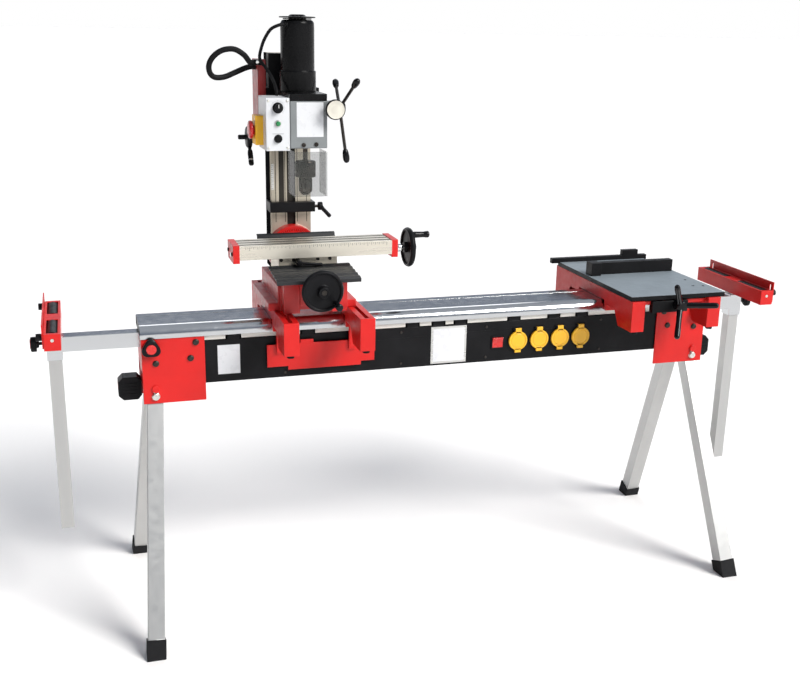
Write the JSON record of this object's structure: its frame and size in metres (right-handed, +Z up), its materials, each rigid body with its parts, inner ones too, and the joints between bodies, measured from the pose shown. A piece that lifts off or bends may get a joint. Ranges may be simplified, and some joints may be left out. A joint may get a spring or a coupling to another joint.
{
  "type": "milling machine",
  "caption": "Small vertical milling machine clamped on a folding rail stand, with a sliding worktable with a fence and two pull-out roller supports.",
  "frame": {"origin": "on the floor, under the middle of the whole machine's bounding box", "axes": "+X along the rail towards the X handwheel, +Y to the rear, +Z up"},
  "size_m": [2.0276, 0.6238, 1.5151],
  "materials": {
    "aluminium": "satin",
    "red_paint": "gloss",
    "black_paint": "satin",
    "black_plastic": "matte",
    "red_plastic": "gloss",
    "yellow_plastic": "gloss",
    "rubber": "matte",
    "steel": "ground",
    "cream_steel": "ground",
    "iron": "machined",
    "red_iron": "painted",
    "grey_paint": "satin",
    "white_paint": "satin",
    "cream_plastic": "satin",
    "grey_plate": "matte",
    "clear_plastic": "gloss"
  },
  "bodies": {
    "stand": {"beam_rail": "aluminium", "power_box": "black_paint", "end_bracket_left": "red_paint", "end_bracket_right": "red_paint"},
    "mill": {"mill_mount": "red_paint", "mill_base": "red_iron", "front_way_cover": "rubber", "rear_way_cover": "rubber"},
    "worktable": {"worktable_mount": "red_paint", "worktable_plate": "grey_plate"},
    "fence": {"worktable_fence": "black_paint"},
    "star_handle": {"star_handle": "black_plastic"},
    "saddle": {"saddle": "cream_steel"},
    "saddle_lever": {"saddle_lever": "black_plastic"},
    "y_handwheel": {"y_handwheel": "black_plastic"},
    "mill_table": {"mill_table": "steel"},
    "x_handwheel": {"x_handwheel": "black_plastic"},
    "column": {"column": "iron"},
    "depth_collar": {"depth_collar": "black_paint"},
    "collar_lever": {"collar_lever": "black_plastic"},
    "head": {"head_slide": "black_paint", "head_casting": "grey_paint", "motor": "black_paint", "control_box": "white_paint", "rear_enclosure": "red_paint", "conduit_loop": "rubber", "motor_cable": "rubber"},
    "stop_button": {"stop_button": "red_plastic"},
    "speed_knob": {"speed_knob": "black_plastic"},
    "lock_lever": {"lock_lever": "black_plastic"},
    "capstan": {"capstan": "black_plastic"},
    "feed_knob": {"feed_knob": "cream_plastic"},
    "quill": {"quill": "steel"},
    "drill_chuck": {"drill_chuck": "steel"},
    "chuck_guard": {"chuck_guard": "clear_plastic"},
    "rocker_switch": {"rocker_switch": "red_plastic"},
    "leg_front_left": {"leg_front_left": "aluminium"},
    "leg_rear_left": {"leg_rear_left": "aluminium"},
    "release_handle_left": {"release_handle_left": "black_plastic"},
    "extension_tube_left": {"extension_tube_left": "aluminium"},
    "extension_knob_left": {"extension_knob_left": "black_plastic"},
    "support_left": {"support_post_left": "aluminium", "support_head_left": "red_paint"},
    "post_knob_left": {"post_knob_left": "black_plastic"},
    "rollers_left": {"rollers_left": "black_plastic"},
    "stop_plate_left": {"stop_plate_left": "red_paint"},
    "leg_front_right": {"leg_front_right": "aluminium"},
    "leg_rear_right": {"leg_rear_right": "aluminium"},
    "release_handle_right": {"release_handle_right": "black_plastic"},
    "extension_tube_right": {"extension_tube_right": "aluminium"},
    "extension_knob_right": {"extension_knob_right": "black_plastic"},
    "support_right": {"support_post_right": "aluminium", "support_head_right": "red_paint"},
    "post_knob_right": {"post_knob_right": "black_plastic"},
    "rollers_right": {"rollers_right": "black_plastic"},
    "stop_plate_right": {"stop_plate_right": "red_paint"},
    "socket_lid_1": {"socket_lid_1": "yellow_plastic"},
    "socket_lid_2": {"socket_lid_2": "yellow_plastic"},
    "socket_lid_3": {"socket_lid_3": "yellow_plastic"},
    "socket_lid_4": {"socket_lid_4": "yellow_plastic"}
  },
  "joints": [
    {"name": "leg_front_left_fold", "type": "hinge", "parent": "stand", "child": "leg_front_left", "pos_m": [-0.724, -0.04, 0.6], "axis": [0, -0.9247, 0.3807], "range_deg": [0, 85]},
    {"name": "leg_rear_left_fold", "type": "hinge", "parent": "stand", "child": "leg_rear_left", "pos_m": [-0.724, 0.04, 0.6], "axis": [0, -0.9247, -0.3807], "range_deg": [0, 85]},
    {"name": "release_handle_left_pull", "type": "slide", "parent": "stand", "child": "release_handle_left", "axis": [-1, 0, 0], "range_m": [0, 0.012], "stiffness_N_per_m": 600},
    {"name": "extension_left_slide", "type": "slide", "parent": "stand", "child": "extension_tube_left", "axis": [-1, 0, 0], "range_m": [-0.115, 0.35]},
    {"name": "extension_knob_left_turn", "type": "hinge", "parent": "stand", "child": "extension_knob_left", "pos_m": [-0.731, -0.019, 0.724], "axis": [0, -1, 0], "range_deg": [-720, 0]},
    {"name": "support_left_lift", "type": "slide", "parent": "extension_tube_left", "child": "support_left", "axis": [0, 0, 1], "range_m": [-0.004, 0.2]},
    {"name": "post_knob_left_turn", "type": "hinge", "parent": "extension_tube_left", "child": "post_knob_left", "pos_m": [-0.973, 0, 0.731], "axis": [-1, 0, 0], "range_deg": [-720, 0]},
    {"name": "rollers_left_roll", "type": "hinge", "parent": "support_left", "child": "rollers_left", "pos_m": [-0.957, 0, 0.782], "axis": [0, 1, 0], "continuous": true},
    {"name": "stop_plate_left_drop", "type": "slide", "parent": "support_left", "child": "stop_plate_left", "axis": [0, 0, -1], "range_m": [0, 0.014]},
    {"name": "leg_front_right_fold", "type": "hinge", "parent": "stand", "child": "leg_front_right", "pos_m": [0.79, -0.04, 0.6], "axis": [0, 0.9247, -0.3807], "range_deg": [0, 85]},
    {"name": "leg_rear_right_fold", "type": "hinge", "parent": "stand", "child": "leg_rear_right", "pos_m": [0.79, 0.04, 0.6], "axis": [0, 0.9247, 0.3807], "range_deg": [0, 85]},
    {"name": "release_handle_right_pull", "type": "slide", "parent": "stand", "child": "release_handle_right", "axis": [1, 0, 0], "range_m": [0, 0.012], "stiffness_N_per_m": 600},
    {"name": "extension_right_slide", "type": "slide", "parent": "stand", "child": "extension_tube_right", "axis": [1, 0, 0], "range_m": [-0.05, 0.35]},
    {"name": "extension_knob_right_turn", "type": "hinge", "parent": "stand", "child": "extension_knob_right", "pos_m": [0.797, -0.019, 0.724], "axis": [0, -1, 0], "range_deg": [-720, 0]},
    {"name": "support_right_lift", "type": "slide", "parent": "extension_tube_right", "child": "support_right", "axis": [0, 0, 1], "range_m": [-0.004, 0.2]},
    {"name": "post_knob_right_turn", "type": "hinge", "parent": "extension_tube_right", "child": "post_knob_right", "pos_m": [0.973, 0, 0.731], "axis": [1, 0, 0], "range_deg": [-720, 0]},
    {"name": "rollers_right_roll", "type": "hinge", "parent": "support_right", "child": "rollers_right", "pos_m": [0.957, 0, 0.782], "axis": [0, 1, 0], "continuous": true},
    {"name": "stop_plate_right_drop", "type": "slide", "parent": "support_right", "child": "stop_plate_right", "axis": [0, 0, -1], "range_m": [0, 0.014]},
    {"name": "socket_lid_1_open", "type": "hinge", "parent": "stand", "child": "socket_lid_1", "pos_m": [0.244, -0.0753, 0.708], "axis": [-1, 0, 0], "range_deg": [0, 110]},
    {"name": "socket_lid_2_open", "type": "hinge", "parent": "stand", "child": "socket_lid_2", "pos_m": [0.307, -0.0753, 0.708], "axis": [-1, 0, 0], "range_deg": [0, 110]},
    {"name": "socket_lid_3_open", "type": "hinge", "parent": "stand", "child": "socket_lid_3", "pos_m": [0.369, -0.0753, 0.708], "axis": [-1, 0, 0], "range_deg": [0, 110]},
    {"name": "socket_lid_4_open", "type": "hinge", "parent": "stand", "child": "socket_lid_4", "pos_m": [0.431, -0.0753, 0.708], "axis": [-1, 0, 0], "range_deg": [0, 110]},
    {"name": "rocker_switch_tip", "type": "hinge", "parent": "stand", "child": "rocker_switch", "pos_m": [0.186, -0.07, 0.674], "axis": [-1, 0, 0], "range_deg": [0, 16]},
    {"name": "mill_slide", "type": "slide", "parent": "stand", "child": "mill", "axis": [1, 0, 0], "range_m": [-0.14, 0.2]},
    {"name": "worktable_slide", "type": "slide", "parent": "stand", "child": "worktable", "axis": [1, 0, 0], "range_m": [-0.14, 0.05]},
    {"name": "fence_slide", "type": "slide", "parent": "worktable", "child": "fence", "axis": [0, -1, 0], "range_m": [0, 0.15]},
    {"name": "star_handle_turn", "type": "hinge", "parent": "worktable", "child": "star_handle", "pos_m": [0.631, -0.23, 0.795], "axis": [0, -1, 0], "range_deg": [-720, 0]},
    {"name": "y_handwheel_turn", "type": "hinge", "parent": "mill", "child": "y_handwheel", "pos_m": [-0.333, -0.148, 0.8803], "axis": [0, 1, 0], "range_deg": [-4051, 3601]},
    {"name": "saddle_slide", "type": "slide", "parent": "mill", "child": "saddle", "axis": [0, 1, 0], "range_m": [-0.045, 0.04], "deforming": ["front_way_cover", "rear_way_cover"]},
    {"name": "x_handwheel_turn", "type": "hinge", "parent": "mill_table", "child": "x_handwheel", "pos_m": [-0.103, -0.034, 0.9393], "axis": [-1, 0, 0], "range_deg": [-8821, 8821]},
    {"name": "mill_table_slide", "type": "slide", "parent": "saddle", "child": "mill_table", "axis": [-1, 0, 0], "range_m": [-0.098, 0.098]},
    {"name": "saddle_lever_turn", "type": "hinge", "parent": "saddle", "child": "saddle_lever", "pos_m": [-0.361, -0.06, 0.9223], "axis": [0, -1, 0], "range_deg": [0, 60]},
    {"name": "column_tilt", "type": "hinge", "parent": "mill", "child": "column", "pos_m": [-0.333, 0.15, 0.9093], "axis": [0, 1, 0], "range_deg": [-45, 45]},
    {"name": "depth_collar_slide", "type": "slide", "parent": "column", "child": "depth_collar", "axis": [0, 0, 1], "range_m": [-0.03, 0.08]},
    {"name": "collar_lever_turn", "type": "hinge", "parent": "depth_collar", "child": "collar_lever", "pos_m": [-0.2727, 0.139, 1.0253], "axis": [1, 0, 0], "range_deg": [-60, 60]},
    {"name": "head_slide_lift", "type": "slide", "parent": "column", "child": "head", "axis": [0, 0, 1], "range_m": [-0.03, 0.085]},
    {"name": "chuck_guard_swing", "type": "hinge", "parent": "head", "child": "chuck_guard", "pos_m": [-0.367, -0.006, 1.1983], "axis": [0, 0, 1], "range_deg": [-90, 0]},
    {"name": "stop_button_press", "type": "slide", "parent": "head", "child": "stop_button", "axis": [1, 0, 0], "range_m": [0, 0.003], "stiffness_N_per_m": 800},
    {"name": "speed_knob_turn", "type": "hinge", "parent": "head", "child": "speed_knob", "pos_m": [-0.408, -0.078, 1.2993], "axis": [0, -1, 0], "range_deg": [-135, 135]},
    {"name": "lock_lever_turn", "type": "hinge", "parent": "head", "child": "lock_lever", "pos_m": [-0.399, 0.055, 1.2183], "axis": [1, 0, 0], "range_deg": [-12, 60]},
    {"name": "capstan_turn", "type": "hinge", "parent": "head", "child": "capstan", "pos_m": [-0.259, -0.048, 1.2963], "axis": [1, 0, 0], "range_deg": [0, 239]},
    {"name": "quill_feed", "type": "slide", "parent": "head", "child": "quill", "axis": [0, 0, -1], "range_m": [0, 0.05], "stiffness_N_per_m": 350, "springref_m": -0.1},
    {"name": "feed_knob_turn", "type": "hinge", "parent": "head", "child": "feed_knob", "pos_m": [-0.273, -0.072, 1.2963], "axis": [0, -1, 0], "range_deg": [-1, 2868]},
    {"name": "drill_chuck_spin", "type": "hinge", "parent": "quill", "child": "drill_chuck", "pos_m": [-0.333, -0.035, 1.1083], "axis": [0, 0, 1], "continuous": true}
  ],
  "couplings": [
    {"joint": "y_handwheel_turn", "follows": "saddle_slide", "rad_per_m": 1570.8},
    {"joint": "x_handwheel_turn", "follows": "mill_table_slide", "rad_per_m": 1570.8},
    {"joint": "capstan_turn", "follows": "quill_feed", "rad_per_m": 83.333},
    {"joint": "feed_knob_turn", "follows": "quill_feed", "rad_per_m": 1000}
  ]
}
